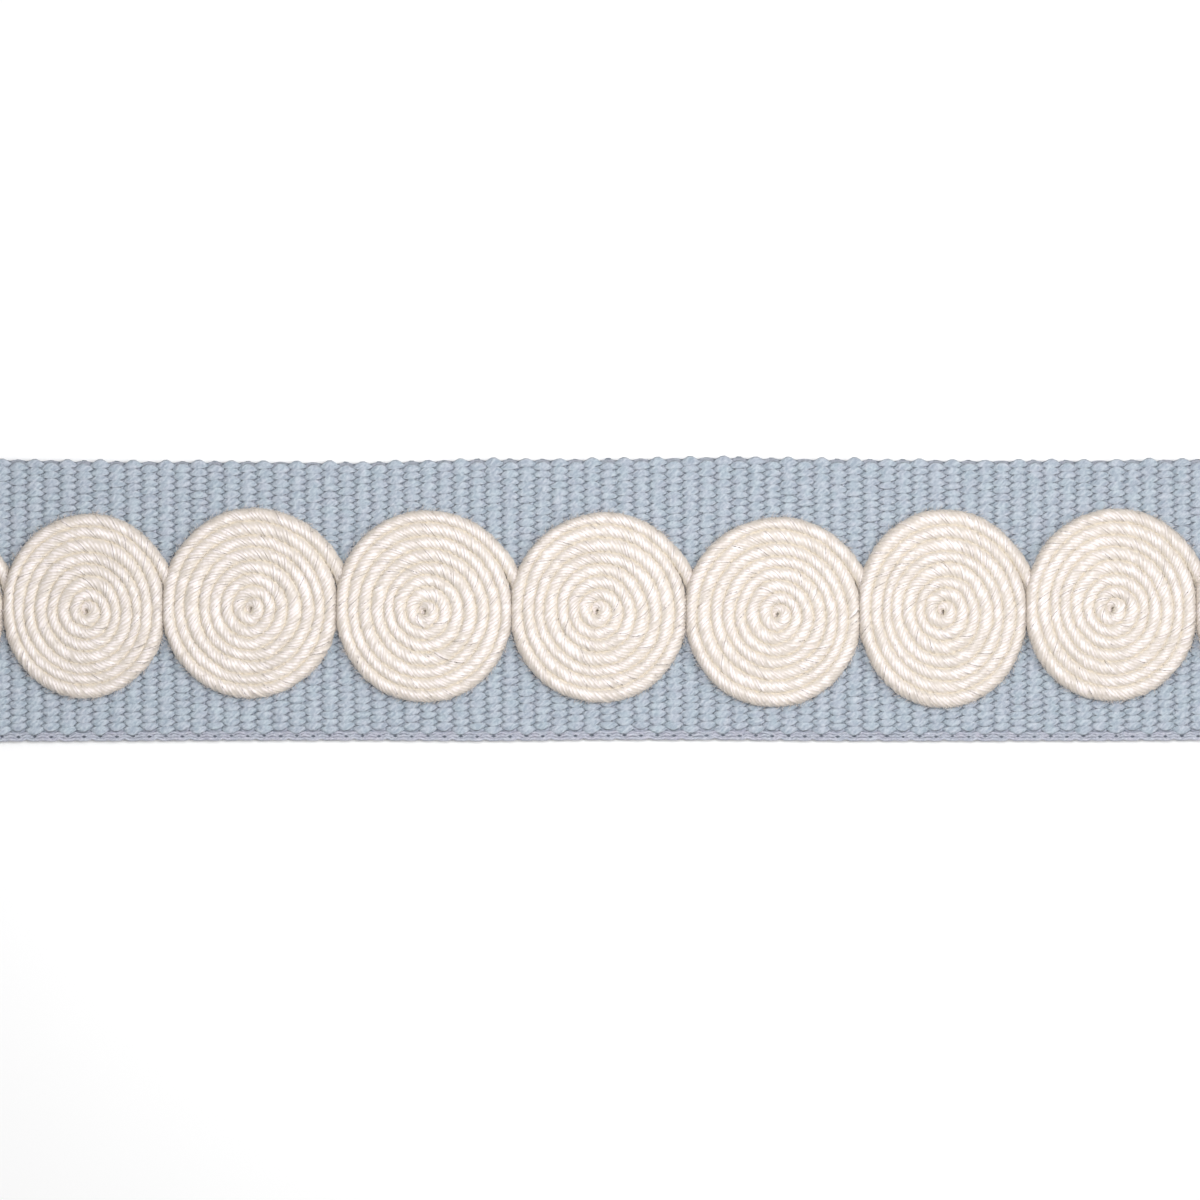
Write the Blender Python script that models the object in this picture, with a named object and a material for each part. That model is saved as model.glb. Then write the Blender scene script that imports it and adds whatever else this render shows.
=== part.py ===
"""A cut length of tape trim: a ribbed woven tape with a row of coiled cord discs sewn on.

The tape lies flat along X, its underside at z = 0 and its middle at x = 0. Its thick ribs
run across it, from one selvedge to the other. Each disc is one length of twisted cord
wound clockwise into a flat spiral, so its face is one long ridge that winds outwards and
ends at the upper right, where the next disc begins.

Both shapes are lofts between unlike sections: no two ribs of the tape are equally wide,
and the ridge of a disc runs through a section that grows and shifts all the way round.
"""

import math

import bpy
import numpy as np

MM = 0.001  # one millimetre in metres
GAP = 0.3 * MM  # left between neighbouring pieces

# The tape
RIBS = 98
RIB_PITCH = 2.975 * MM
RIB_DEPTH = 0.5 * MM  # from a rib's crest down to the groove beside it
TAPE_THICKNESS = 2.0 * MM  # over the crests
TAPE_LENGTH = RIBS * RIB_PITCH
RIB_SHAPE = ((0.0, 0.0), (0.27, 1.0), (0.73, 1.0))  # share of the pitch, share of the depth
SELVEDGE_BUMP = 0.22 * MM  # how far a rib's end stands out past the groove beside it
SELVEDGE_ROUND = 0.9 * MM  # how far in from the edge the tape reaches its full thickness
EDGE_UNDERCUT = 0.3 * MM  # how far the underside stops short of the edge
EDGE_HEIGHT = 0.5  # height of the outermost line, as a share of the thickness

# The tape's two long edges, in millimetres: place along the tape, upper edge, lower edge
EDGES = (
    (-145.8, 25.4, -25.4),
    (-108.8, 25.5, -25.5),
    (-87.1, 25.1, -25.4),
    (-65.3, 25.1, -25.3),
    (-43.5, 24.9, -25.3),
    (-21.8, 25.5, -25.4),
    (0.0, 25.5, -25.2),
    (21.8, 25.9, -25.2),
    (43.5, 25.5, -25.4),
    (65.3, 25.3, -25.4),
    (87.1, 25.3, -25.4),
    (108.8, 25.5, -25.3),
    (145.8, 25.4, -25.4),
)

# The coils
CORD_PITCH = 2.2 * MM  # from one turn of cord to the next, which is the cord's width
CORD_HEIGHT = 1.95 * MM  # a sewn-down cord is pressed a little flatter than it is wide
GROOVE_DEPTH = 0.8 * MM  # from the top of a turn down to the groove between two turns
FLANK_HEIGHT = 0.9 * MM  # height of the widest line of the outermost turn
RIM_UNDERCUT = 0.3 * MM  # how far the underside stops short of that line
HOLE_SHARE = 0.1  # radius of the small eye in the middle, as a share of the cord's width
HOLE_FLOOR = 0.6 * MM
SPOKES = 24  # points in one turn
TAIL_SPOKE = 22  # the turn's last spoke, at the upper right
FULL_TURNS = 6
RIDGE_SHAPE = (0.28, 0.72)  # the ridge's flat top, as shares of the cord's width
WOBBLE = 0.1 * MM  # unevenness of the winding
WOBBLE_RATE = 1.7  # swings of that unevenness in one turn

# Each coil, in millimetres: centre x, centre y, reach to the right, down, to the left, up
COILS = (
    (-124.3, -1.9, 16.1, 16.7, 15.8, 18.2),
    (-92.9, -1.9, 13.7, 16.1, 15.3, 17.8),
    (-63.2, -1.5, 15.4, 16.4, 16.0, 18.4),
    (-31.7, -1.9, 15.6, 16.9, 16.1, 18.5),
    (-0.5, -1.9, 16.1, 16.7, 15.6, 18.0),
    (32.2, -2.5, 14.8, 16.7, 16.6, 17.6),
    (62.2, -2.0, 15.0, 17.3, 15.2, 18.3),
    (92.9, -1.5, 15.1, 16.9, 15.7, 18.3),
    (123.7, -1.9, 15.4, 16.8, 15.7, 18.2),
)

TAPE_COLOUR = (0.46, 0.515, 0.57, 1.0)
CORD_COLOUR = (0.855, 0.783, 0.716, 1.0)


def clear_scene():
    for old in list(bpy.data.objects):
        bpy.data.objects.remove(old)


def fabric(name, colour, roughness, sheen):
    """A cloth-like material of one colour."""
    material = bpy.data.materials.new(name)
    material.use_nodes = True
    shader = material.node_tree.nodes["Principled BSDF"]
    shader.inputs["Base Color"].default_value = colour
    shader.inputs["Roughness"].default_value = roughness
    shader.inputs["Metallic"].default_value = 0.0
    shader.inputs["Sheen Weight"].default_value = sheen
    return material


def add_piece(name, points, faces, material, collection):
    """Makes one closed mesh object of the points and faces."""
    mesh = bpy.data.meshes.new(name)
    mesh.from_pydata(points, [], faces)
    mesh.validate()
    mesh.materials.append(material)
    piece = bpy.data.objects.new(name, mesh)
    collection.objects.link(piece)
    return piece


def tape_sections():
    """The tape's cross-sections, one after the other along X, each of six points.

    Every rib gives three sections, at its groove and at both sides of its crest. A section
    runs from the lower edge's underside up and over the rib to the upper edge's underside.
    """
    shares = [rib + share for rib in range(RIBS) for share, _ in RIB_SHAPE] + [RIBS]
    rises = [rise for _ in range(RIBS) for _, rise in RIB_SHAPE] + [0.0]
    x = np.array(shares) * RIB_PITCH - TAPE_LENGTH / 2
    rise = np.array(rises)
    place, upper, lower = (np.array(EDGES) * MM).T
    bump = SELVEDGE_BUMP * (rise - 0.5)
    top = np.interp(x, place, upper) + bump
    bottom = np.interp(x, place, lower) - bump
    crest = TAPE_THICKNESS - RIB_DEPTH * (1 - rise)
    middle = np.full_like(x, TAPE_THICKNESS * EDGE_HEIGHT)
    flat = np.zeros_like(x)
    across = (
        (bottom + EDGE_UNDERCUT, flat),
        (bottom, middle),
        (bottom + SELVEDGE_ROUND, crest),
        (top - SELVEDGE_ROUND, crest),
        (top, middle),
        (top - EDGE_UNDERCUT, flat),
    )
    return np.stack([np.stack([x, y, z], 1) for y, z in across], 1)


def make_tape(material, collection):
    """The tape: its sections skinned one to the next, and closed at both cut ends."""
    sections = tape_sections()
    count, corners = sections.shape[:2]
    faces = [tuple(range(corners))]
    for i in range(count - 1):
        for j in range(corners):
            a = i * corners + j
            b = i * corners + (j + 1) % corners
            faces.append((a, a + corners, b + corners, b))
    last = (count - 1) * corners
    faces.append(tuple(last + j for j in reversed(range(corners))))
    return add_piece("tape", sections.reshape(-1, 3).tolist(), faces, material, collection)


class Winding:
    """The spiral that a coil's cord follows, seen from above and running clockwise."""

    def __init__(self, row, phase):
        self.x, self.y, right, down, left, up = (value * MM for value in row)
        self.phase = phase
        self.left_limit = self.x - left + GAP / 2
        self.right_limit = self.x + right - GAP / 2
        reach = np.array([right - GAP / 2, down, left - GAP / 2, up])
        plain = CORD_PITCH * (HOLE_SHARE + FULL_TURNS + 1 + np.arange(4) / 4)
        self.ratio = reach / plain

    def stretch(self, angle):
        """How much wider than an even spiral the coil is towards an angle."""
        right, down, left, up = self.ratio
        return (
            (right + down + left + up) / 4
            + (right - left) / 2 * math.cos(angle)
            + (down - up) / 2 * math.sin(angle)
            + (right + left - down - up) / 4 * math.cos(2 * angle)
        )

    def groove(self, step):
        """Radius of the groove inside the cord, a number of steps from its start."""
        turns = step / SPOKES
        uneven = WOBBLE * min(turns, 1.0) * math.sin(WOBBLE_RATE * turns * math.tau + self.phase)
        even = self.stretch(turns * math.tau) * CORD_PITCH * (HOLE_SHARE + turns)
        return even + uneven

    def point(self, step, share, height, inset=0.0):
        """A point a share of the way across the cord, at a height above the coil's base."""
        angle = step / SPOKES * math.tau
        inner = self.groove(step)
        radius = inner + share * (self.groove(step + SPOKES) - inner) - inset
        x = self.x + radius * math.cos(angle)
        x = min(max(x, self.left_limit), self.right_limit)
        y = self.y - radius * math.sin(angle)
        return (x, y, TAPE_THICKNESS + GAP + height)


def make_coil(name, winding, material, collection):
    """One disc, a spiral ridge on a flat base, with a small eye in the middle.

    The groove line is one spiral from the eye to the rim: what is the inner groove of one
    turn is the outer groove of the turn before it, so the turns share its points.
    """
    last = FULL_TURNS * SPOKES + TAIL_SPOKE
    rim = range(last, last + SPOKES + 1)
    points = []

    def add(*place):
        points.append(winding.point(*place))
        return len(points) - 1

    def groove_height(step):
        return FLANK_HEIGHT if step > last else CORD_HEIGHT - GROOVE_DEPTH

    grooves = [add(step, 0.0, groove_height(step)) for step in range(last + SPOKES + 1)]
    ridges = [[add(step, share, CORD_HEIGHT) for step in range(last + 1)] for share in RIDGE_SHAPE]
    eye = add(-SPOKES / 4, 0.5, HOLE_FLOOR)
    faces = []
    for i in range(last):
        lines = (grooves[i : i + 2], ridges[0][i : i + 2], ridges[1][i : i + 2])
        lines += (grooves[i + SPOKES : i + SPOKES + 2],)
        for inner, outer in zip(lines, lines[1:]):
            faces.append((inner[0], inner[1], outer[1], outer[0]))
    start = [grooves[0], ridges[0][0], ridges[1][0], grooves[SPOKES]]
    faces += [(eye, grooves[i + 1], grooves[i]) for i in range(SPOKES)]
    faces += [(eye, a, b) for a, b in zip(start, start[1:])]
    outline = [grooves[step] for step in rim] + [ridges[1][last], ridges[0][last]]
    below = [add(step, 0.0, 0.0, RIM_UNDERCUT) for step in rim]
    below += [add(last, share, 0.0, RIM_UNDERCUT) for share in reversed(RIDGE_SHAPE)]
    for i in range(len(outline)):
        j = (i + 1) % len(outline)
        faces.append((outline[i], outline[j], below[j], below[i]))
    faces.append(tuple(below))
    return add_piece(name, points, faces, material, collection)


def main():
    clear_scene()
    trim = bpy.data.collections.new("tape_trim")
    bpy.context.scene.collection.children.link(trim)
    make_tape(fabric("ribbed_cotton_tape", TAPE_COLOUR, 0.85, 0.2), trim)
    cord = fabric("twisted_viscose_cord", CORD_COLOUR, 0.5, 0.4)
    for number, row in enumerate(COILS, start=1):
        make_coil(f"coil_{number}", Winding(row, phase=float(number)), cord, trim)


main()
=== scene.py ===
# %% [markdown]
# # A tape trim with coiled cord
# This lesson dresses a flat tape trim. The real thing is a woven webbing tape with thick
# ribs across it, and on its face a row of flat discs, each one length of shiny twisted cord
# wound in a spiral and sewn down. A solid model with the right sizes is loaded first. Every
# thread that shows is then made as its own surface, in the same place. A picture of a weave
# laid on a flat strip would be quicker, but it looks painted as soon as the view tilts.

# %% The solid model
import math

import bpy
import numpy as np
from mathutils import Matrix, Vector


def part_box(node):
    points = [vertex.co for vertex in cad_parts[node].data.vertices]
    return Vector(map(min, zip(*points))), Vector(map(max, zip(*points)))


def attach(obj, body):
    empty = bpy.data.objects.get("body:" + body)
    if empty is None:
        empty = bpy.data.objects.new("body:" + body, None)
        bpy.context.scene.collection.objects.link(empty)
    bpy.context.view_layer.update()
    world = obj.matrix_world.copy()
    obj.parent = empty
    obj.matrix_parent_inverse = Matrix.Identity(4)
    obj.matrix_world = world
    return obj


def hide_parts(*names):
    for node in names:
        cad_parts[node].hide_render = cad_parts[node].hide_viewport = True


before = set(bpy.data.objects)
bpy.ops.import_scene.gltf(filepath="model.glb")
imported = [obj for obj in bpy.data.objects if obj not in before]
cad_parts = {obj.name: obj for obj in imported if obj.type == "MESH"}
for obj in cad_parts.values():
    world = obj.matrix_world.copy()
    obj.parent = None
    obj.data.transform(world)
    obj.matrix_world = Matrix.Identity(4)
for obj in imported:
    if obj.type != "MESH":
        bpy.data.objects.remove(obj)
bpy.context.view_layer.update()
MM = 0.001

# %% [markdown]
# ## Sizes
# Lengths come from the loaded model where it has them. The tape's box gives its length and
# thickness, and the widest line of its mesh gives both uneven edges. Thread sizes are in
# millimetres, as a weaver would count them.

# %% Sizes of the tape
RIBS = 98
EDGE_LINE = 0.5  # the tape is widest at half its thickness
EDGE_MARGIN = 0.01 * MM  # how near to that height a point has to lie

tape_low, tape_high = (np.array(corner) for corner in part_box("tape"))
tape_length = tape_high[0] - tape_low[0]
tape_top = tape_high[2]
rib_pitch = tape_length / RIBS

tape_points = np.empty(len(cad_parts["tape"].data.vertices) * 3)
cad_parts["tape"].data.vertices.foreach_get("co", tape_points)
tape_points = tape_points.reshape(-1, 3)
widest = np.abs(tape_points[:, 2] - EDGE_LINE * tape_top) < EDGE_MARGIN


def edge(x, side):
    """How far across the tape its edge lies at each x.

    side is 1 for the upper edge and -1 for the lower one. Between two points of the model
    the edge is straight.
    """
    line = tape_points[widest & (tape_points[:, 1] * side > 0)]
    line = line[np.argsort(line[:, 0])]
    return np.interp(x, line[:, 0], line[:, 1])


print(f"tape {tape_length / MM:.1f} mm long, ribs {rib_pitch / MM:.3f} mm apart")
print(f"upper edge at {edge(0.0, 1) / MM:.2f} mm, lower edge at {edge(0.0, -1) / MM:.2f} mm")

# %% [markdown]
# ## Camera, light and floor
# The trim is photographed straight from above with a long lens, so that nothing leans
# towards the frame's edges. A strong soft light stands to its right and a weaker one to its
# left, so that the ribs and the sides of each turn of cord shade a little. A small one near
# the camera gives the cord its shine, and a pale sky fills the rest. The floor is a plain
# white sheet, lit until it is as white as the paper behind a product photograph.

# %% Camera
VIEW_WIDTH = 217.7 * MM  # what the photograph's full width takes in
LENS = 135.0  # in mm, as is the sensor's width
SENSOR = 36.0
VIEW_MIDDLE = 0.09 * MM  # how far up the tape the middle of the view lies
view = bpy.data.cameras.new("view")
view.lens = LENS
view.sensor_width = SENSOR
camera = bpy.data.objects.new("view", view)
camera_height = VIEW_WIDTH * LENS / SENSOR
camera.location = (0.0, VIEW_MIDDLE, camera_height + tape_top)
bpy.context.collection.objects.link(camera)
bpy.context.scene.camera = camera
bpy.context.scene.view_settings.view_transform = "Standard"
print(f"camera {camera_height:.3f} m above the tape")


# %% Colours and nodes
def linear(hex_colour):
    """An sRGB hex colour as the linear numbers that a shader reads."""
    parts = [int(hex_colour[i : i + 2], 16) / 255 for i in (1, 3, 5)]
    return [p / 12.92 if p <= 0.04045 else ((p + 0.055) / 1.055) ** 2.4 for p in parts] + [1.0]


def node(tree, kind, settings=None, links=None):
    """Adds a node. settings gives values to its properties and sockets, by name or number.

    links gives, for a socket, the output that feeds it.
    """
    made = tree.nodes.new("ShaderNode" + kind)
    for name, value in (settings or {}).items():
        if isinstance(name, str) and hasattr(made, name):
            setattr(made, name, value)
        else:
            made.inputs[name].default_value = value
    for name, source in (links or {}).items():
        tree.links.new(source, made.inputs[name])
    return made


def new_material(name, settings):
    """A material with one Principled shader, and its node tree."""
    material = bpy.data.materials.new(name)
    material.use_nodes = True
    shader = material.node_tree.nodes["Principled BSDF"]
    for socket, value in settings.items():
        shader.inputs[socket].default_value = value
    return material, material.node_tree, shader


# %% Floor and lights
FLOOR_SIZE = 3.0  # in metres
FLOOR_DROP = 0.1 * MM  # keeps the floor clear of the lowest yarns
paper, _, _ = new_material("white_paper", {"Base Color": linear("#FAFAFA"), "Roughness": 0.9})
floor_mesh = bpy.data.meshes.new("floor")
half = FLOOR_SIZE / 2
ways = ((-1, -1), (1, -1), (1, 1), (-1, 1))
floor_mesh.from_pydata([(x * half, y * half, -FLOOR_DROP) for x, y in ways], [], [(0, 1, 2, 3)])
floor_mesh.materials.append(paper)
floor = bpy.data.objects.new("floor", floor_mesh)
bpy.context.collection.objects.link(floor)


def soft_light(name, place, size, power):
    """A square area light that looks at the middle of the tape."""
    data = bpy.data.lights.new(name, "AREA")
    data.size = size
    data.energy = power
    lamp = bpy.data.objects.new(name, data)
    lamp.location = place
    away = np.array(place) / np.linalg.norm(place)
    lamp.rotation_euler = (math.acos(away[2]), 0.0, math.atan2(away[1], away[0]) + math.pi / 2)
    bpy.context.collection.objects.link(lamp)


SKY_STRENGTH = 0.36
LIGHTS = (  # name, place in metres, side of the square in metres, power in watts
    ("left_light", (-0.75, -0.05, 0.75), 0.4, 1.3),
    ("right_light", (0.75, 0.05, 0.75), 0.4, 4.2),
    ("top_light", (0.03, 0.06, 0.35), 0.15, 0.72),
)
for light in LIGHTS:
    soft_light(*light)
sky = bpy.data.worlds.new("studio")
sky.use_nodes = True
sky.node_tree.nodes["Background"].inputs["Color"].default_value = (1.0, 1.0, 1.0, 1.0)
sky.node_tree.nodes["Background"].inputs["Strength"].default_value = SKY_STRENGTH
bpy.context.scene.world = sky
print(f"{len(LIGHTS)} lights, floor {FLOOR_SIZE:.0f} m wide")


# %% [markdown]
# ## Threads as tubes
# A thread is a tube: a ring of points carried along a path. Rings are kept as one array of
# tubes, steps and sides, so a whole layer of threads is skinned at once. The same array
# lays out a UV map, with the thread's length along it and one strip for each thread, and
# the fibres of the material follow that map. Curve objects with a round bevel would give
# tubes too, but not a width and a height that change on their own.

# %% Unevenness
def uneven(place, spacing, seed):
    """Smooth random values from -1 to 1, as nothing that is woven or wound is quite even.

    Random knots stand every spacing. Between two of them the value is a * (1 - e) + b * e,
    where e = (1 - cos(pi * t)) / 2 and t is the share of the way. place has a row for each
    thread, and each row has its own knots.
    """
    count = int(place.max() / spacing) + 3
    knots = np.random.default_rng(seed).uniform(-1, 1, (len(place), count))
    left = (place / spacing).astype(int)
    ease = 0.5 - 0.5 * np.cos(np.pi * (place / spacing - left))
    row = np.arange(len(place))[:, None]
    return knots[row, left] * (1 - ease) + knots[row, left + 1] * ease


# %% Skinning
def add_piece(name, points, crest, quads, caps, quad_uv, nodes, material):
    """One mesh object of quads and end caps, hung under the root body. It hides the solid model's nodes
    that it dresses.

    crest is kept as an attribute of the points, for the material to read.
    """
    corners = np.concatenate([quads.ravel(), caps.ravel()]).astype(np.int32)
    sizes = np.concatenate([np.full(len(quads), 4), np.full(len(caps), caps.shape[1])])
    starts = np.concatenate([[0], np.cumsum(sizes)[:-1]]).astype(np.int32)
    mesh = bpy.data.meshes.new(name)
    mesh.vertices.add(len(points))
    mesh.vertices.foreach_set("co", points.astype(np.float32).ravel())
    mesh.loops.add(len(corners))
    mesh.loops.foreach_set("vertex_index", corners)
    mesh.polygons.add(len(sizes))
    mesh.polygons.foreach_set("loop_start", starts)
    mesh.update(calc_edges=True)
    uv = np.zeros((len(corners), 2), np.float32)
    uv[: quads.size] = quad_uv.reshape(-1, 2)
    mesh.uv_layers.new(name="thread").uv.foreach_set("vector", uv.ravel())
    heights = mesh.attributes.new("crest", "FLOAT", "POINT")
    heights.data.foreach_set("value", crest.astype(np.float32).ravel())
    mesh.shade_smooth()
    mesh.materials.append(material)
    piece = bpy.data.objects.new(name, mesh)
    bpy.context.collection.objects.link(piece)
    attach(piece, "root")
    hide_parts(*nodes)
    triangles = int((sizes - 2).sum())
    print(f"{name}: {triangles} triangles")
    return piece


def add_tubes(name, rings, crest, nodes, material):
    """Skins rings, an array (tubes, steps, sides, 3), each ring turning from side to top.

    A quad joins two neighbouring points of one ring with the same two of the next. Each
    tube's first and last ring is closed by one flat face. crest says for every point how
    far it stands out, 1 on top and 0 or less in the depths.
    """
    tubes, steps, sides, _ = rings.shape
    index = np.arange(tubes * steps * sides).reshape(tubes, steps, sides)
    after = np.roll(index, -1, axis=2)
    quads = np.stack([index[:, :-1], after[:, :-1], after[:, 1:], index[:, 1:]], -1).reshape(-1, 4)
    caps = np.concatenate([index[:, 0, ::-1], index[:, -1]])
    along = np.arange(steps) / (steps - 1)
    strip = (np.arange(tubes)[:, None] + np.arange(sides + 1) / sides) / tubes
    u, v = np.broadcast_arrays(along[None, :, None], strip[:, None, :])
    uv = np.stack([u, v], -1)
    low, high = uv[:, :-1], uv[:, 1:]
    quad_uv = np.stack([low[:, :, :-1], low[:, :, 1:], high[:, :, 1:], high[:, :, :-1]], -2)
    crest = np.broadcast_to(crest, rings.shape[:3])
    return add_piece(name, rings.reshape(-1, 3), crest, quads, caps, quad_uv, nodes, material)


# %% [markdown]
# ## The yarns' finish and painted shade
# The tape is spun cotton, two plies twisted together: dull, with fine slanting lines where
# the plies meet and small fibres all over. The dye takes unevenly, so some floats are
# greyer and some bluer. The lines follow each yarn's own UV strip, because a pattern laid
# over the whole tape would run straight on from one yarn to the next.

# %% Cotton yarn
FIBRE_LENGTH = 1.1 * MM  # how long a streak of fibres shows before it dives into the yarn
FIBRE_GROUPS = 9  # streaks side by side, once round a yarn
FUZZ_SIZE = 0.5 * MM  # the small fibres all over
SHADE_SIZE = 2.2 * MM  # from a greyer place to a bluer one
STREAK_WEIGHT = 1.8  # of the streaks in the colour, where the fuzz has 1
PLY_DEPTH = 0.16 * MM  # of the lines between the plies
GREYER = "#FFFDFF"
BLUER = "#FBFFFF"


def cotton_yarn(name, colours, threads, length, slant):
    """Dull two-ply cotton with slanting streaks of fibres, in a light, a dark and a deep colour.

    The streaks are noise that is stretched along each yarn's UV strip and sheared by slant,
    so a streak goes slant times round the yarn in one FIBRE_LENGTH. A slower noise makes one
    float greyer and the next one bluer. The deep colour is painted shade: low places take it,
    as little light comes back out of them.
    """
    light, dark, deep = (linear(colour) for colour in colours)
    dull = {"Roughness": 0.8, "Sheen Weight": 0.3, "Sheen Roughness": 0.5}
    material, tree, shader = new_material(name, dull)
    uv = node(tree, "UVMap", {"uv_map": "thread"})
    split = node(tree, "SeparateXYZ", links={"Vector": uv.outputs[0]})
    times = {"operation": "MULTIPLY"}
    along = node(tree, "Math", times | {1: length / FIBRE_LENGTH}, {0: split.outputs["X"]})
    around = node(tree, "Math", times | {1: float(threads)}, {0: split.outputs["Y"]})
    times_and_add = {"operation": "MULTIPLY_ADD"}
    both = {0: along.outputs[0], 2: around.outputs[0]}
    shear = node(tree, "Math", times_and_add | {1: slant}, both)
    wide = node(tree, "Math", times | {1: float(FIBRE_GROUPS)}, {0: shear.outputs[0]})
    sheared = node(tree, "CombineXYZ", links={"X": along.outputs[0], "Y": wide.outputs[0]})
    thin_lines = {"Scale": 1.0, "Detail": 3.0, "Roughness": 0.6}
    streak = node(tree, "TexNoise", thin_lines, {"Vector": sheared.outputs[0]})
    place = node(tree, "TexCoord").outputs["Object"]
    fibre = node(tree, "TexNoise", {"Scale": 1 / FUZZ_SIZE, "Detail": 3.0}, {"Vector": place})
    patch = node(tree, "TexNoise", {"Scale": 1 / SHADE_SIZE, "Detail": 2.0}, {"Vector": place})
    both = {0: streak.outputs["Fac"], 2: fibre.outputs["Fac"]}
    blend = node(tree, "Math", times_and_add | {1: STREAK_WEIGHT}, both)
    ramp = node(tree, "MapRange", {"From Min": 1.1, "From Max": 1.7}, {"Value": blend.outputs[0]})
    colour = node(tree, "Mix", {"data_type": "RGBA", 6: dark, 7: light}, {0: ramp.outputs[0]})
    hue = node(tree, "MapRange", {"From Min": 0.35, "From Max": 0.65}, {"Value": patch.outputs["Fac"]})
    tints = {"data_type": "RGBA", 6: linear(GREYER), 7: linear(BLUER)}
    tint = node(tree, "Mix", tints, {0: hue.outputs[0]})
    multiply = {"data_type": "RGBA", "blend_type": "MULTIPLY", 0: 1.0}
    tinted = node(tree, "Mix", multiply, {6: colour.outputs[2], 7: tint.outputs[2]})
    # Painted shade: the lower a point stands, the more of the deep colour it takes.
    crest = node(tree, "Attribute", {"attribute_name": "crest"})
    level = node(tree, "MapRange", {"From Min": 0.1, "From Max": 0.6}, {"Value": crest.outputs["Fac"]})
    both = {0: level.outputs[0], 7: tinted.outputs[2]}
    shaded = node(tree, "Mix", {"data_type": "RGBA", 6: deep}, both)
    relief = {"Strength": 1.0, "Distance": PLY_DEPTH}
    bump = node(tree, "Bump", relief, {"Height": blend.outputs[0]})
    tree.links.new(shaded.outputs[2], shader.inputs["Base Color"])
    tree.links.new(bump.outputs[0], shader.inputs["Normal"])
    return material


# %% [markdown]
# ## The rib cords and the cloth's body
# Under the yarns lie the thick cords that make the ribs. Each runs across the whole tape,
# and at the edges it turns round the last yarn, which leaves a small bump. They are made as
# one closed sheet whose thickness swells at each rib and shrinks between two. Separate
# cords would do as well, but a sheet also closes the cloth where no yarn covers it.

# %% Cloth body
YARN_THICK = 0.45 * MM
RIB_STEPS = 6  # rings in one rib
RIB_ROUND = 0.6  # below 1 a rib is fuller than a sine wave
RIB_CORDS = 20  # strips of fibres across the tape
THINNEST = 0.02  # of the upper edge's round, so that it isn't knife-sharp
BODY_WEB = 0.34 * MM  # half the sheet's thickness between two ribs
UPPER_LINES = np.array([0.0, 0.12, 0.45, 1.0]) * MM  # in from the upper edge, which is round
LOWER_LINES = np.array([0.05, 0.4, 1.1, 1.9]) * MM  # in from the lower edge, low under the stitches
body_middle = tape_top / 2

body_x = np.linspace(tape_low[0], tape_high[0], RIBS * RIB_STEPS + 1)
rib_swell = np.abs(np.sin(np.pi * (body_x - tape_low[0]) / rib_pitch)) ** RIB_ROUND
body_half = BODY_WEB + (body_middle - YARN_THICK - BODY_WEB) * rib_swell
upper = edge(body_x, 1)
lower = edge(body_x, -1)
lower_share = (LOWER_LINES / LOWER_LINES[-1]) ** 2
upper_share = np.sqrt(np.clip(1 - (1 - UPPER_LINES / UPPER_LINES[-1]) ** 2, THINNEST, 1))
across_share = np.concatenate([lower_share, upper_share[::-1]])
face_y = np.concatenate([lower[:, None] + LOWER_LINES, upper[:, None] - UPPER_LINES[::-1]], 1)
face_half = body_half[:, None] * across_share
front = np.stack(np.broadcast_arrays(body_x[:, None], face_y, body_middle + face_half), -1)
back = np.stack(np.broadcast_arrays(body_x[:, None], face_y, body_middle - face_half), -1)
body_rings = np.concatenate([front[:, ::-1], back], 1)[None]
# Painted shade: the crest attribute falls between the ribs and towards the lower edge, so the cloth is
# painted darker there, also in the pinholes under the stitches.
face_crest = rib_swell[:, None] * np.append(lower_share, np.ones(len(upper_share)))
body_crest = np.concatenate([face_crest[:, ::-1], face_crest], 1)[None]
# The third colour is painted shade for the low places.
rib_colours = ("#C6CAD6", "#A0A7B6", "#818C9B")
rib_cotton = cotton_yarn("cotton_rib_cord", rib_colours, RIB_CORDS, tape_length, 0.0)
tape_body = add_tubes("tape_body", body_rings, body_crest, ["tape"], rib_cotton)

# %% [markdown]
# ## The warp yarns
# Every visible yarn of the tape runs along it. It goes over one rib and under the next, and
# its neighbours do the opposite, so on each rib only every second yarn shows, as a short
# plump float. Its pointed ends reach a little past the rib, between the floats of the next
# one. The path is a squared-off wave, and the yarn's width swells where it floats. Each
# yarn is one tube from end to end, so the weave is true from every side and at the ends.

# %% Warp yarns
YARNS = 73
LOWER_STRIP = 1.62 * MM  # left free at the lower edge for the stitched selvedge
UPPER_STRIP = 0.28 * MM
RIB_PLACES = np.array([0.0, 0.13, 0.38, 0.62, 0.87])  # steps inside one rib, shares of its pitch
RISE_OVER = np.array([0.56, 0.90, 1.0, 1.0, 0.90])  # how high a yarn stands over a rib
RISE_UNDER = np.array([0.56, 0.05, -0.97, -0.97, 0.05])
WIDTH_OVER = np.array([0.66, 1.20, 1.78, 1.78, 1.20]) * MM
WIDTH_UNDER = np.array([0.66, 0.36, 1.50, 1.50, 0.36]) * MM
FLOAT_SLANT = 0.05 * MM  # a float climbs to the right by twice this
YARN_SECTION = np.array([[1, 0], [0.7, 0.85], [-0.7, 0.85], [-1, 0], [0, -0.95]])
SECTION_FULL = 1.12  # makes a pentagon as thick as the round yarn that it stands for
YARN_STRAY = 0.09 * MM  # how far a yarn strays sideways
STRAY_SPACING = 3.1 * MM
YARN_SWELL = 0.16  # how much its width changes, as a share
SWELL_SPACING = 2.6 * MM
YARN_SINK = 0.07  # how much lower a float may lie, as a share
SINK_SPACING = 3.3 * MM
YARN_TWIST = 0.15  # slant of its streaks

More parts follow.
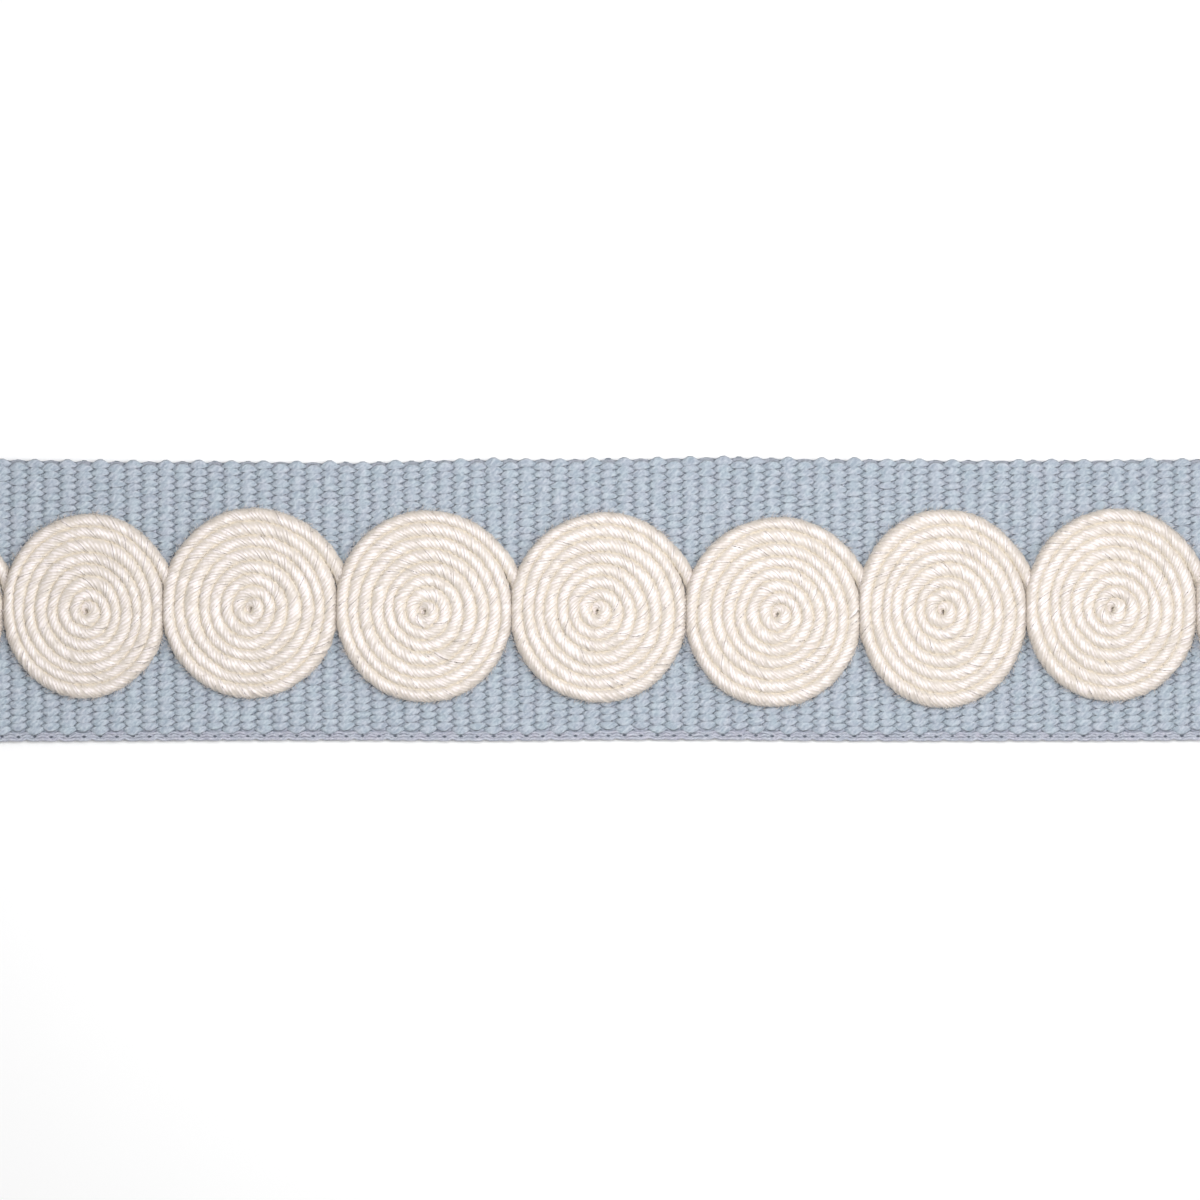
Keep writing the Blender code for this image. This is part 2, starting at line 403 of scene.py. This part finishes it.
ribs_at = np.repeat(np.arange(RIBS), len(RIB_PLACES))
yarn_x = tape_low[0] + rib_pitch * np.append(ribs_at + np.tile(RIB_PLACES, RIBS), RIBS)
slant = np.append(np.tile(-np.cos(np.pi * RIB_PLACES), RIBS), -1.0)
rib_of_step = np.append(ribs_at, RIBS)


def along_tape(over, values_over, values_under):
    """Repeats one rib's values along the tape, those for a float where over is true."""
    both = [np.append(np.tile(values, RIBS), values[0]) for values in (values_over, values_under)]
    return np.where(over, both[0], both[1])


def warp_layer(name, parity, material):
    """The yarns that float over the ribs of one parity, as one piece.

    A ring is a flattened pentagon that stands across the yarn's own slope: with the slope
    s, a point u above the yarn's middle moves back by u * s / sqrt(1 + s * s) and up by
    u / sqrt(1 + s * s).
    """
    yarns = np.arange(parity, YARNS, 2)
    over = (rib_of_step[None] + yarns[:, None]) % 2 == 0
    first = edge(yarn_x, -1) + LOWER_STRIP
    last = edge(yarn_x, 1) - UPPER_STRIP
    share = (yarns[:, None] + 0.5) / YARNS
    path = np.tile(yarn_x - tape_low[0], (len(yarns), 1))
    y = first + share * (last - first) + np.where(over, slant, -slant) * FLOAT_SLANT
    y = y + YARN_STRAY * uneven(path, STRAY_SPACING, seed=parity)
    swell = 1 + YARN_SWELL * uneven(path, SWELL_SPACING, seed=parity + 10)
    half_width = along_tape(over, WIDTH_OVER, WIDTH_UNDER) / 2 * swell
    half_thick = YARN_THICK / 2
    sink = 1 - YARN_SINK * (1 + uneven(path, SINK_SPACING, seed=parity + 20))
    z = body_middle + along_tape(over, RISE_OVER, RISE_UNDER) * sink * (body_middle - half_thick)
    slope = np.gradient(z, axis=1) / np.gradient(yarn_x)
    lean = np.sqrt(1 + slope**2)
    side = half_width[..., None] * YARN_SECTION[:, 0]
    up = half_thick * SECTION_FULL * YARN_SECTION[:, 1]
    x = yarn_x[None, :, None] - up * (slope / lean)[..., None]
    rings = np.stack([x, y[..., None] + side, z[..., None] + up / lean[..., None]], -1)
    # Painted shade: the lower a point of the yarn lies, the more of the deep colour it takes.
    crest = (rings[..., 2] - body_middle) / (body_middle - half_thick)
    return add_tubes(name, rings, crest, ["tape"], material)


# The third colour is painted shade for the low places.
warp_colours = ("#C2CAD3", "#9AA5B2", "#8E99A8")
warp_cotton = cotton_yarn("cotton_warp_yarn", warp_colours, YARNS // 2, tape_length, YARN_TWIST)
warp_a = warp_layer("warp_yarns_a", 0, warp_cotton)
warp_b = warp_layer("warp_yarns_b", 1, warp_cotton)

# %% [markdown]
# ## The lower selvedge
# Along the lower edge the rib cords are locked by thin threads that are chained along the
# tape. They show as a narrow greyer strip of small slanting stitches, with a dark pinhole at
# every rib, now higher and now lower. Two strands that cross between the ribs part over each
# rib and leave the pinhole. A straighter one lies along the very edge, and one beside the
# last warp yarn. Loops modelled stitch by stitch would be truer close up, but they would be
# a few pixels long in the picture.

# %% Lower selvedge
STITCH_STEPS = 8  # in one rib
STITCH_SIDES = 6
STITCH_IN = np.array([[0.80], [0.80], [0.28], [1.30]]) * MM  # from the edge to each strand
STITCH_SWING = np.array([[0.46], [0.34], [0.08], [0.05]]) * MM  # how far it bends at a pinhole
STITCH_PHASE = np.array([[0.0], [1.0], [0.5], [0.0]]) * math.pi
STITCH_HALF_WIDTH = np.array([[0.17], [0.17], [0.30], [0.26]]) * MM
STITCH_SPREAD = np.array([[0.14], [0.14], [0.0], [0.0]]) * MM  # how much wider where they cross
STITCH_HALF_HEIGHT = 0.48 * MM
STITCH_HEIGHT = 0.62  # of their middle, as a share of the tape's thickness
STITCH_WAVE = 0.12 * MM  # how far they rise and sink
PINHOLE_POWER = 9  # high and odd: the strands bend sharply, each to its own side
STITCH_STRAY = 0.04 * MM
STITCH_STRAY_SPACING = 1.9 * MM
STITCH_TWIST = 0.3  # slant of their streaks

stitch_x = np.linspace(tape_low[0], tape_high[0], RIBS * STITCH_STEPS + 1)
phase = math.pi * (stitch_x - tape_low[0]) / rib_pitch + STITCH_PHASE
stitch_y = edge(stitch_x, -1) + STITCH_IN + STITCH_SWING * np.sin(phase) ** PINHOLE_POWER
stitch_path = np.tile(stitch_x - tape_low[0], (len(STITCH_IN), 1))
stitch_y = stitch_y + STITCH_STRAY * uneven(stitch_path, STITCH_STRAY_SPACING, seed=40)
stitch_z = tape_top * STITCH_HEIGHT + STITCH_WAVE * np.cos(phase)
stitch_width = STITCH_HALF_WIDTH + STITCH_SPREAD * np.cos(phase) ** 2
around = np.arange(STITCH_SIDES) * math.tau / STITCH_SIDES
stitch_rings = np.stack(
    np.broadcast_arrays(
        stitch_x[None, :, None],
        stitch_y[..., None] + stitch_width[..., None] * np.cos(around),
        stitch_z[..., None] + STITCH_HALF_HEIGHT * np.sin(around),
    ),
    -1,
)
# The third colour is painted shade, for the strands' undersides and low places.
stitch_colours = ("#D6D8E2", "#A9ADBC", "#666E82")
stitch_cotton = cotton_yarn(
    "cotton_stitch_thread", stitch_colours, len(STITCH_IN), tape_length, STITCH_TWIST
)
# Painted light: the strands are painted lighter on top and darker on their undersides and where they
# sink.
stitch_crest = 0.35 + 0.2 * np.cos(phase)[..., None] + 0.6 * np.sin(around)  # light on top
selvedge = add_tubes("selvedge_stitch", stitch_rings, stitch_crest, ["tape"], stitch_cotton)

# %% [markdown]
# ## The cord's finish and painted shine
# The cord is viscose, a bright smooth fibre with silk-like gloss, twisted from nine yarns.
# Light slides along the smooth fibres, so a yarn shines in short slanting strokes where it
# lies level and turns beige where it dips between two turns. Both are painted into the
# colour: a painted highlight in strokes on top, painted shade on the flanks. The colour
# reads how high a point stands on the cord from an attribute, and the strokes follow the
# UV map. A plain glossy shader leaves the turns too even, since much of the shine is in
# these strokes.

# %% Viscose cord
YARNS_IN_CORD = 9
STROKE_LENGTH = 2.5 * MM  # of one stroke along a yarn, a bump and a painted highlight
STROKES_IN_YARN = 5.0  # side by side
PATCH_SIZE = 1.6 * MM  # of places where the fibres lie better or worse, painted as a wider or narrower highlight
HEIGHT_WEIGHT = 3.2  # how much the height on the cord counts in the painted highlight and shade
HEIGHT_START = -2.65
YARN_WEIGHT = 0.6
STROKE_WEIGHT = 1.4
PATCH_WEIGHT = 2.2
STROKE_DEPTH = 0.06 * MM
# Painted light: the flank colour is painted shade, the crest colour a painted highlight, and the valley
# colour warmer painted shade between two turns.
FLANK_SHADE_COLOUR = "#D6CCC3"
CREST_HIGHLIGHT_COLOUR = "#F6EDEB"
VALLEY_SHADE_COLOUR = "#E8DECF"


def viscose_cord(cord_length):
    """Glossy cream fibre: near white on top, beige on the flanks, with fine strokes.

    The near white on top is a painted highlight and the beige on the flanks painted shade.
    The colour runs from flank to crest with a sum: the height on the cord, the roundness of
    each yarn, |sin(9 pi v)| once round, which paints shade into the creases between yarns,
    the strokes and the patches, each times its weight. Light that bounces between two turns
    gets warmer each time, so the deepest places are painted yellower.
    """
    glossy = {"Roughness": 0.36, "Sheen Weight": 0.3, "Sheen Roughness": 0.4, "Specular IOR Level": 0.7}
    material, tree, shader = new_material("twisted_viscose_cord", glossy)
    uv = node(tree, "UVMap", {"uv_map": "thread"})
    height = node(tree, "Attribute", {"attribute_name": "crest"})
    split = node(tree, "SeparateXYZ", links={"Vector": uv.outputs[0]})
    strokes = (cord_length / STROKE_LENGTH, YARNS_IN_CORD * STROKES_IN_YARN, 1.0)
    spread = node(tree, "Mapping", {"Scale": strokes}, {"Vector": uv.outputs[0]})
    streak = node(tree, "TexNoise", {"Scale": 1.0, "Detail": 3.0}, {"Vector": spread.outputs[0]})
    place = node(tree, "TexCoord").outputs["Object"]
    patch = node(tree, "TexNoise", {"Scale": 1 / PATCH_SIZE, "Detail": 2.0}, {"Vector": place})
    # Painted shade in the creases between the cord's yarns: |sin(9 pi v)| is 0 at a crease.
    half_waves = {"operation": "MULTIPLY", 1: YARNS_IN_CORD * math.pi}
    lobe = node(tree, "Math", half_waves, {0: split.outputs["Y"]})
    lobe = node(tree, "Math", {"operation": "SINE"}, {0: lobe.outputs[0]})
    lobe = node(tree, "Math", {"operation": "ABSOLUTE"}, {0: lobe.outputs[0]})
    level = {"operation": "MULTIPLY_ADD", 1: HEIGHT_WEIGHT, 2: HEIGHT_START}
    blend = node(tree, "Math", level, {0: height.outputs["Fac"]})
    parts = (
        (lobe.outputs[0], YARN_WEIGHT),
        (streak.outputs["Fac"], STROKE_WEIGHT),
        (patch.outputs["Fac"], PATCH_WEIGHT),
    )
    for part, weight in parts:
        more = {"operation": "MULTIPLY_ADD", 1: weight}
        blend = node(tree, "Math", more, {0: part, 2: blend.outputs[0]})
    ramp = node(tree, "MapRange", {"From Min": 2.1, "From Max": 2.95}, {"Value": blend.outputs[0]})
    ends = {"data_type": "RGBA", 6: linear(FLANK_SHADE_COLOUR), 7: linear(CREST_HIGHLIGHT_COLOUR)}
    colour = node(tree, "Mix", ends, {0: ramp.outputs[0]})
    relief = {"Strength": 0.7, "Distance": STROKE_DEPTH}
    bump = node(tree, "Bump", relief, {"Height": streak.outputs["Fac"]})
    # Painted shade: the lowest places, between two turns, take the warm valley colour.
    depth = node(tree, "MapRange", {"From Min": 0.5, "From Max": 0.85}, {"Value": height.outputs["Fac"]})
    both = {0: depth.outputs[0], 7: colour.outputs[2]}
    valley = node(tree, "Mix", {"data_type": "RGBA", 6: linear(VALLEY_SHADE_COLOUR)}, both)
    tree.links.new(valley.outputs[2], shader.inputs["Base Color"])
    tree.links.new(bump.outputs[0], shader.inputs["Normal"])
    return material


# %% [markdown]
# ## The coils
# Each disc is one cord on a flat spiral that opens clockwise. The line between two turns is
# the spiral's groove: its radius grows by one cord width a turn, and it is stretched
# towards the sides where the disc is wider. The cord fills the space between one pass of
# that line and the next, so neighbouring turns always touch. A row of rings would look
# alike at first, but a real coil is one cord, and the eye follows it from middle to rim.

# %% Winding
CORD_WIDTH = 2.2 * MM
CORD_HALF_HEIGHT = 1.05 * MM
CORD_BASE = tape_top
HOLE_SHARE = 0.1  # radius of the small eye, as a share of the cord's width
START_TURN = -0.75
END_TURN = 6.968
OUTER_TURN = 7  # where the outermost groove begins, to the right of the middle
GRID_PER_TURN = 96
COIL_EYES = (  # middle of each coil in mm, from left to right
    (-124.3, -1.9), (-92.9, -1.9), (-63.2, -1.5), (-31.7, -1.9), (-0.5, -1.9),
    (32.2, -2.5), (62.2, -2.0), (92.9, -1.5), (123.7, -1.9),
)
PRESS = 0.35 * MM  # how much wider a coil would be if its neighbours didn't flatten it
TURN_OVERLAP = 0.25 * MM  # how far two turns press into each other
SHORT_DRIFT = 0.16 * MM  # how far a groove strays within a tenth of a turn
SHORT_SPACING = 0.09
LONG_DRIFT = 0.22 * MM  # and within a third of a turn
LONG_SPACING = 0.31

coil_nodes = [f"coil_{k + 1}" for k in range(len(COIL_EYES))]
coil_boxes = np.array([[list(corner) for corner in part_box(name)] for name in coil_nodes])
meetings = (coil_boxes[:-1, 1, 0] + coil_boxes[1:, 0, 0]) / 2
left_limits = np.append(coil_boxes[0, 0, 0], meetings)
right_limits = np.append(meetings, coil_boxes[-1, 1, 0])
print(f"{len(coil_nodes)} coils, meeting at x in mm:", np.round(meetings / MM, 1))


def coil_stretch(reach, angle):
    """How much wider than an even spiral a coil is towards an angle, from its reach four ways.

    With r, d, l and u for the four it is (r + d + l + u) / 4 + (r - l) / 2 * cos(a)
    + (d - u) / 2 * sin(a) + (r + l - d - u) / 4 * cos(2 a), which meets all four.
    """
    right, down, left, up = reach / (CORD_WIDTH * (HOLE_SHARE + OUTER_TURN + np.arange(4) / 4))
    return (
        (right + down + left + up) / 4
        + (right - left) / 2 * np.cos(angle)
        + (down - up) / 2 * np.sin(angle)
        + (right + left - down - up) / 4 * np.cos(2 * angle)
    )


def smooth(value, start, end):
    """0 before start, 1 after end, and the S-shaped rise s * s * (3 - 2 * s) between them."""
    share = np.clip((value - start) / (end - start), 0, 1)
    return share * share * (3 - 2 * share)


def groove_line(number, left_limit, right_limit):
    """Turns and the groove's radius at each of them, for one coil.

    The radius is the cord's width times the turns, stretched by coil_stretch, plus a drift.
    """
    eye = np.array(COIL_EYES[number - 1]) * MM
    low, high = coil_boxes[number - 1]
    pressed = PRESS - TURN_OVERLAP
    reach_x = (right_limit - eye[0] + pressed, eye[0] - left_limit + pressed)
    reach_y = (eye[1] - low[1] - TURN_OVERLAP, high[1] - eye[1] - TURN_OVERLAP)
    reach = np.array([reach_x[0], reach_y[0], reach_x[1], reach_y[1]])
    turns = np.arange(START_TURN, END_TURN + 1.02, 1 / GRID_PER_TURN)
    place = turns[None] - START_TURN
    drift = SHORT_DRIFT * uneven(place, SHORT_SPACING, seed=100 + number)[0]
    drift = drift + LONG_DRIFT * uneven(place, LONG_SPACING, seed=150 + number)[0]
    drift = drift * np.clip(turns, 0, 1)
    stretch = coil_stretch(reach, turns * math.tau)
    return turns, stretch * CORD_WIDTH * (HOLE_SHARE + np.maximum(turns, 0)) + drift


# %% [markdown]
# ## The twist of the cord
# Nine yarns run round the cord as in a rope, so its section is a round with nine crowns that
# turns as it goes. Nine separate tubes would give the same look at many times the size,
# because most of each yarn is hidden inside. The outermost turn has no neighbour to hold its
# outer side up and sags a little, and the tail dips under the next coil.

# %% Twisted cord
CORD_STEP = 0.6 * MM
TWIST_LEAD = 7.2 * MM  # length in which a yarn goes once round the cord
YARN_POINTS = np.array([0.93, 0.99, 1.01, 0.99])  # a yarn's crease, then its crown
CORD_SIDES = YARNS_IN_CORD * len(YARN_POINTS)
PATH_POINTS = 4000  # for measuring the length of a coil's cord
BEGIN_TURNS = 0.8  # the cord rises to its full height over these
BEGIN_HEIGHT = 0.35  # height at its start, as a share of the full one
HEIGHT_CHANGE = 0.07
TWIST_CHANGE = 0.5  # how far the twist runs ahead or behind, as an angle
CREASE_CHANGE = 0.25  # and how far each yarn does so on its own
YARN_CHANGE = 0.07  # how much a yarn swells, as a share
HEIGHT_SPACING = 4 * MM
TWIST_SPACING = 9 * MM
CREASE_SPACING = 3 * MM
YARN_SPACING = 1.7 * MM
RIM_SLUMP = 0.45 * MM  # how far the outermost turn sags on its free side
RIM_TURNS = (OUTER_TURN - 1.1, OUTER_TURN - 1)  # the sag sets in between these
RIM_SHADE = 0.4  # how much deeper that side counts in the colour, as painted shade
RIM_CREST = 0.72  # but no place on it looks deeper than this
TAIL_DIP = 1.1 * MM  # how far the tail sinks where the next coil covers it
TAIL_SWING = 0.5 * MM  # how far it leaves its own coil there
TAIL_REACH = 2 * MM  # how far it may pass the line where two coils meet
SWING_TURNS = (END_TURN - 0.11, END_TURN)
DIP_TURNS = (END_TURN - 0.07, END_TURN)
FREE_TURNS = (END_TURN - 0.14, END_TURN - 0.07)
UNDERSIDE = 0.1 * MM  # how far the cord presses into the tape
AVERAGE_LENGTH = 360 * MM  # of cord in a coil, for the strokes' length


def cord_path(turns, line):
    """The cord's middle in even steps: distances, turns, places, half widths, ways outward.

    The middle lies halfway between the inner and the outer groove, and the half width is
    half their distance plus the overlap.
    """

    def groove(turn):
        return np.interp(turn, turns, line)

    def middle_line(turn):
        radius = (groove(turn) + groove(turn + 1)) / 2 + TAIL_SWING * smooth(turn, *SWING_TURNS)
        return np.stack([radius * np.cos(turn * math.tau), -radius * np.sin(turn * math.tau)], -1)

    fine = np.linspace(START_TURN, END_TURN, PATH_POINTS)
    steps = np.linalg.norm(np.diff(middle_line(fine), axis=0), axis=1)
    length = np.append(0, np.cumsum(steps))
    along = np.linspace(0, length[-1], int(length[-1] / CORD_STEP))
    turn = np.interp(along, length, fine)
    middle = middle_line(turn)
    half_width = (groove(turn + 1) - groove(turn)) / 2 + TURN_OVERLAP
    ahead = np.gradient(middle, along, axis=0)
    ahead /= np.linalg.norm(ahead, axis=1)[:, None]
    return along, turn, middle, half_width, np.stack([-ahead[:, 1], ahead[:, 0]], -1)


def twisted_section(number, along):
    """Angle of each point round the cord, and its distance from the middle as a share.

    The angle is 2 pi * (k / sides + s / TWIST_LEAD) for point k at the distance s, plus
    small shifts, and the share is a crown's shape plus a swelling of each yarn.
    """
    rows = np.tile(along, (YARNS_IN_CORD, 1))
    shift = TWIST_CHANGE * uneven(along[None], TWIST_SPACING, seed=400 + number)[0]
    angle = np.arange(CORD_SIDES) * math.tau / CORD_SIDES
    angle = angle + (along / TWIST_LEAD * math.tau + shift)[:, None]
    crease_shift = CREASE_CHANGE * uneven(rows, CREASE_SPACING, seed=500 + number)
    angle = angle + np.repeat(crease_shift, len(YARN_POINTS), axis=0).T
    plump = np.repeat(uneven(rows, YARN_SPACING, seed=300 + number), len(YARN_POINTS), axis=0).T
    return angle, np.tile(YARN_POINTS, YARNS_IN_CORD) + YARN_CHANGE * plump


def make_coil(number, material):
    """One coil as a single fluted tube, from its middle to its tail."""
    eye = np.array(COIL_EYES[number - 1]) * MM
    left_limit, right_limit = left_limits[number - 1], right_limits[number - 1]
    turns, line = groove_line(number, left_limit, right_limit)
    along, turn, middle, half_width, outward = cord_path(turns, line)
    angle, crown = twisted_section(number, along)

    begin = smooth(turn, START_TURN, START_TURN + BEGIN_TURNS)
    half_height = CORD_HALF_HEIGHT * (BEGIN_HEIGHT + (1 - BEGIN_HEIGHT) * begin)
    change = uneven(along[None], HEIGHT_SPACING, seed=200 + number)[0]
    half_height = half_height * (1 + HEIGHT_CHANGE * change)
    middle_z = CORD_BASE + half_height - TAIL_DIP * smooth(turn, *DIP_TURNS)

    side = half_width[:, None] * crown * np.cos(angle)
    up = half_height[:, None] * crown * np.sin(angle)
    rim = smooth(turn, *RIM_TURNS)[:, None] * np.clip(np.cos(angle), 0, 1) ** 2
    up = up - RIM_SLUMP * rim
    x = eye[0] + middle[:, :1] + outward[:, :1] * side
    y = eye[1] + middle[:, 1:] + outward[:, 1:] * side
    x = np.clip(x, left_limit, right_limit + TAIL_REACH * smooth(turn, *FREE_TURNS)[:, None])
    z = np.maximum(middle_z[:, None] + up, CORD_BASE - UNDERSIDE)
    rings = np.stack([x, y, z], -1)
    # Height on the cord for the painted highlight and shade. The outermost turn's sagging side is
    # painted in deeper shade, but never below RIM_CREST.
    crest = crown * np.sin(angle) - RIM_SHADE * rim
    crest = np.where(rim > 0.05, np.maximum(crest, RIM_CREST), crest)
    print(f"coil_{number}: {along[-1] / MM:.0f} mm of cord")
    nodes = [coil_nodes[number - 1]]
    add_tubes(f"cord_{number}", rings[None], crest[None], nodes, material)
    return rings, turn, angle, outward


viscose = viscose_cord(AVERAGE_LENGTH)
wound = [make_coil(number, viscose) for number in range(1, len(COIL_EYES) + 1)]

# %% [markdown]
# ## Stray fibres
# Viscose is spun from short fibres, and some of their ends stand out of the cord. They soften
# its outline, most of all round the rim of a disc. Each is a thin three-sided tube that
# leaves the cord along its yarn and bends away from it. Hair particles would make them too,
# but tubes of our own are the same in every program that opens the model.

# %% Stray fibres
RIM_FIBRES = 700  # on each coil
TOP_FIBRES = 300
FIBRE_RADIUS = 0.035 * MM
FIBRE_REACH = (0.4 * MM, 1.0 * MM)
FIBRE_BENDS = np.array([0.0, 0.5, 1.0])
FIBRE_SIDES = 3
FIBRE_LEAN = 0.7  # how far it leans to either side, as a share of its reach
ALONG_YARN = 0.6  # how far it keeps to its yarn's way
RIM_LIFT = (0.4, 1.2)  # how far it stands away from the cord
TOP_LIFT = (0.05, 0.5)
FIBRE_CREST = 0.9  # takes the painted highlight of a yarn's top
LAST_TURN = 6.9  # no fibres on the tail
dice = np.random.default_rng(700)


def unit(vectors):
    """Each vector divided by its own length."""
    return vectors / np.linalg.norm(vectors, axis=-1, keepdims=True)


def stray_fibres(rings, turn, angle, outward):
    """Paths of one coil's fibres, an array (fibres, bends, 3), and the way each stands out.

    Most of the fibres start on the outermost turn's outer side, the rest anywhere on top. At
    the share t of its length a fibre is 0.6 * t along its yarn, lean * t * t to the side and
    lift * t away from the cord.
    """
    sideways, upwards, turn = np.cos(angle), np.sin(angle), turn[:, None]
    outermost = (turn > OUTER_TURN - 1) & (turn < LAST_TURN)
    outer = np.nonzero(outermost & (sideways > 0.6) & (upwards > 0.1))
    top = np.nonzero((turn < LAST_TURN) & (turn > 0) & (upwards > 0.6))
    picks = []
    for spots, count in ((outer, RIM_FIBRES), (top, TOP_FIBRES)):
        chosen = dice.integers(0, len(spots[0]), count)
        picks.append((spots[0][chosen], spots[1][chosen]))
    step, side = np.concatenate(picks, axis=1)
    start = rings[step, side]
    along = unit(rings[step + 1, side] - start)
    level = outward[step] * sideways[step, side][:, None]
    out = np.append(level, upwards[step, side][:, None], axis=1)
    across = np.cross(along, out)
    length = dice.uniform(*FIBRE_REACH, len(step))[:, None, None]
    lean = dice.uniform(-FIBRE_LEAN, FIBRE_LEAN, len(step))[:, None, None]
    lift = np.append(dice.uniform(*RIM_LIFT, RIM_FIBRES), dice.uniform(*TOP_LIFT, TOP_FIBRES))
    share = FIBRE_BENDS[:, None]
    path = along[:, None] * ALONG_YARN * share + across[:, None] * lean * share**2
    path = path + out[:, None] * lift[:, None, None] * share
    return start[:, None] + length * path, unit(out), unit(across)


fibre_parts = zip(*[stray_fibres(*parts) for parts in wound])
paths, outs, acrosses = (np.concatenate(part) for part in fibre_parts)
corner = (np.arange(FIBRE_SIDES) * math.tau / FIBRE_SIDES)[:, None]
section = outs[:, None, None] * np.cos(corner) + acrosses[:, None, None] * np.sin(corner)
fibre_rings = paths[:, :, None] + FIBRE_RADIUS * section
add_tubes("stray_fibres", fibre_rings, FIBRE_CREST, coil_nodes, viscose)
